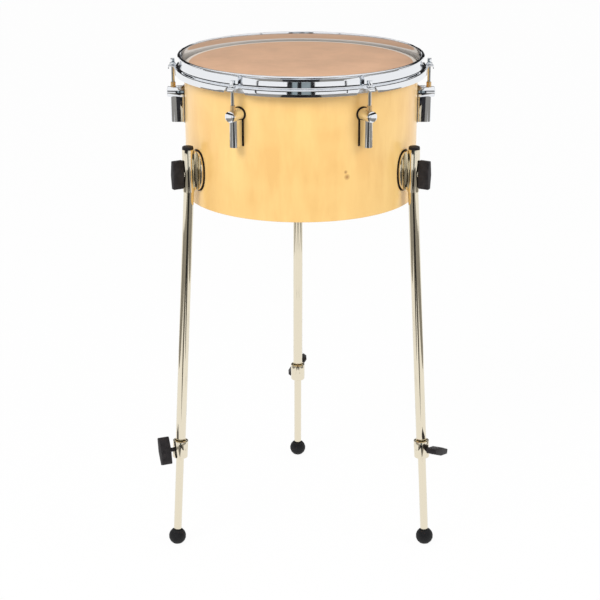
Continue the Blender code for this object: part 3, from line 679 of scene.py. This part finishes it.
def lay_floor(stage):
    """A matt floor that looks nearly white, whatever light falls on it."""
    clear_selection()
    bpy.ops.mesh.primitive_plane_add(size=FLOOR_SIZE)
    floor = bpy.context.object
    floor.name = "studio_floor"
    material, tree, shader = new_material("floor_paint", stage.floor, MATT)
    glow = tree.nodes.new("ShaderNodeEmission")
    blend = tree.nodes.new("ShaderNodeMixShader")
    share = ramp(tree, seen_directly(tree), 0.0, 1.0, 0.0, FLOOR_GLOW)
    tree.links.new(share, blend.inputs["Fac"])
    tree.links.new(shader.outputs["BSDF"], blend.inputs[1])
    tree.links.new(glow.outputs["Emission"], blend.inputs[2])
    tree.links.new(blend.outputs["Shader"], tree.nodes["Material Output"].inputs["Surface"])
    floor.data.materials.append(material)


def light_room(stage):
    """Soft light from all round, and two lamps that don't show in the plating."""
    world = bpy.data.worlds.new("studio_air")
    bpy.context.scene.world = world
    world.use_nodes = True
    tree = world.node_tree
    sky = tree.nodes["Background"]
    sky.inputs["Color"].default_value = (1.0, 1.0, 1.0, 1.0)
    strength = ramp(tree, seen_directly(tree), 0.0, 1.0, stage.world, 1.0)
    tree.links.new(strength, sky.inputs["Strength"])
    for name, place, size, share in LAMPS:
        lamp = bpy.data.lights.new(name, "AREA")
        lamp.shape = "DISK"
        lamp.size = size
        lamp.energy = stage.key * share
        obj = bpy.data.objects.new(name, lamp)
        obj.location = place
        obj.rotation_euler = (Vector(LAMP_AIM) - Vector(place)).to_track_quat("-Z", "Y").to_euler()
        obj.visible_glossy = False
        bpy.context.scene.collection.objects.link(obj)


def hung(obj, name, material):
    """Lets a card show in mirrors only."""
    obj.name = name
    obj.visible_camera = False
    obj.visible_diffuse = False
    obj.visible_shadow = False
    obj.data.materials.append(material)


def hang_cards(cloths):
    """Upright cards round the drum, which draw dark patches and lines on the hoop and lugs."""
    for name, place, width, height, cloth in CARDS:
        clear_selection()
        bpy.ops.mesh.primitive_plane_add(size=1.0)
        card = bpy.context.object
        card.scale = (width, height, 1.0)
        card.location = place
        aim = Vector((0.0, 0.0, place[2])) - Vector(place)
        card.rotation_euler = aim.to_track_quat("Z", "Y").to_euler()
        hung(card, name, cloths[cloth])


def lay_sheets(cloths):
    """Grey sheets and dark wedges on the floor, which draw the long lines down the legs."""
    for name, low, high in SHEETS:
        clear_selection()
        bpy.ops.mesh.primitive_plane_add(size=1.0)
        sheet = bpy.context.object
        sheet.scale = (high[0] - low[0], high[1] - low[1], 1.0)
        sheet.location = ((low[0] + high[0]) / 2, (low[1] + high[1]) / 2, SHEET_HEIGHT)
        hung(sheet, name, cloths["card_felt"])
    for name, side, turn, half_width, height, cloth in WEDGES:
        clear_selection()
        bpy.ops.mesh.primitive_circle_add(vertices=3, radius=1.0, fill_type="NGON")
        wedge = bpy.context.object
        wedge.scale = (half_width, WEDGE_REACH, 1.0)
        wedge.rotation_euler = (0.0, 0.0, side * turn)
        wedge.location = (
            side * (WEDGE_ACROSS + WEDGE_REACH * math.sin(turn)),
            WEDGE_FRONT - WEDGE_REACH * math.cos(turn),
            height,
        )
        hung(wedge, name, cloths[cloth])


def raise_band(cloths):
    """A dark band all round the room, which draws the thin lines along the hoop's bead."""
    clear_selection()
    bpy.ops.mesh.primitive_cylinder_add(
        vertices=BAND_SIDES, radius=BAND_RADIUS, depth=BAND_HIGH - BAND_LOW,
        end_fill_type="NOTHING", location=(0.0, 0.0, (BAND_LOW + BAND_HIGH) / 2),
    )
    hung(bpy.context.object, "room_band", cloths["card_cloth"])


def aim_camera(stage):
    data = bpy.data.cameras.new("camera")
    data.lens = stage.lens
    data.sensor_width = SENSOR_WIDTH
    camera = bpy.data.objects.new("camera", data)
    camera.location = (CAMERA_SIDE, DRUM_AXIS.y - stage.distance, stage.height)
    camera.rotation_euler = (math.pi / 2 - stage.pitch, 0.0, 0.0)
    bpy.context.scene.collection.objects.link(camera)
    bpy.context.scene.camera = camera


class DRUM_PT_panel(bpy.types.Panel):
    """Lists the drum's pieces, sizes and colours"""

    bl_idname = "DRUM_PT_panel"
    bl_label = "Kettledrum"
    bl_space_type = "VIEW_3D"
    bl_region_type = "UI"
    bl_category = "Kettledrum"

    def draw(self, context):
        for piece in PIECES:
            self.layout.operator(piece.bl_idname)
        scene = context.scene
        for group in (scene.drum_sizes, scene.drum_colours, scene.drum_stage):
            box = self.layout.box()
            for name in group.__annotations__:
                box.prop(group, name)


PIECES = (
    DRUM_OT_shell,
    DRUM_OT_head,
    DRUM_OT_hoop,
    DRUM_OT_rods,
    DRUM_OT_lugs,
    DRUM_OT_brackets,
    DRUM_OT_legs,
    DRUM_OT_wing_screws,
    DRUM_OT_stage,
)
CLASSES = (DrumSizes, DrumColours, StageSettings, *PIECES, DRUM_PT_panel)


def register():
    for cls in CLASSES:
        bpy.utils.register_class(cls)
    bpy.types.Scene.drum_sizes = bpy.props.PointerProperty(type=DrumSizes)
    bpy.types.Scene.drum_colours = bpy.props.PointerProperty(type=DrumColours)
    bpy.types.Scene.drum_stage = bpy.props.PointerProperty(type=StageSettings)


def unregister():
    del bpy.types.Scene.drum_stage
    del bpy.types.Scene.drum_colours
    del bpy.types.Scene.drum_sizes
    for cls in reversed(CLASSES):
        bpy.utils.unregister_class(cls)


def main():
    register()
    bpy.ops.kettledrum.shell()
    bpy.ops.kettledrum.head()
    bpy.ops.kettledrum.hoop()
    bpy.ops.kettledrum.rods()
    bpy.ops.kettledrum.lugs()
    bpy.ops.kettledrum.brackets()
    bpy.ops.kettledrum.legs()
    bpy.ops.kettledrum.wing_screws()
    bpy.ops.kettledrum.stage()


if __name__ == "__main__":
    main()
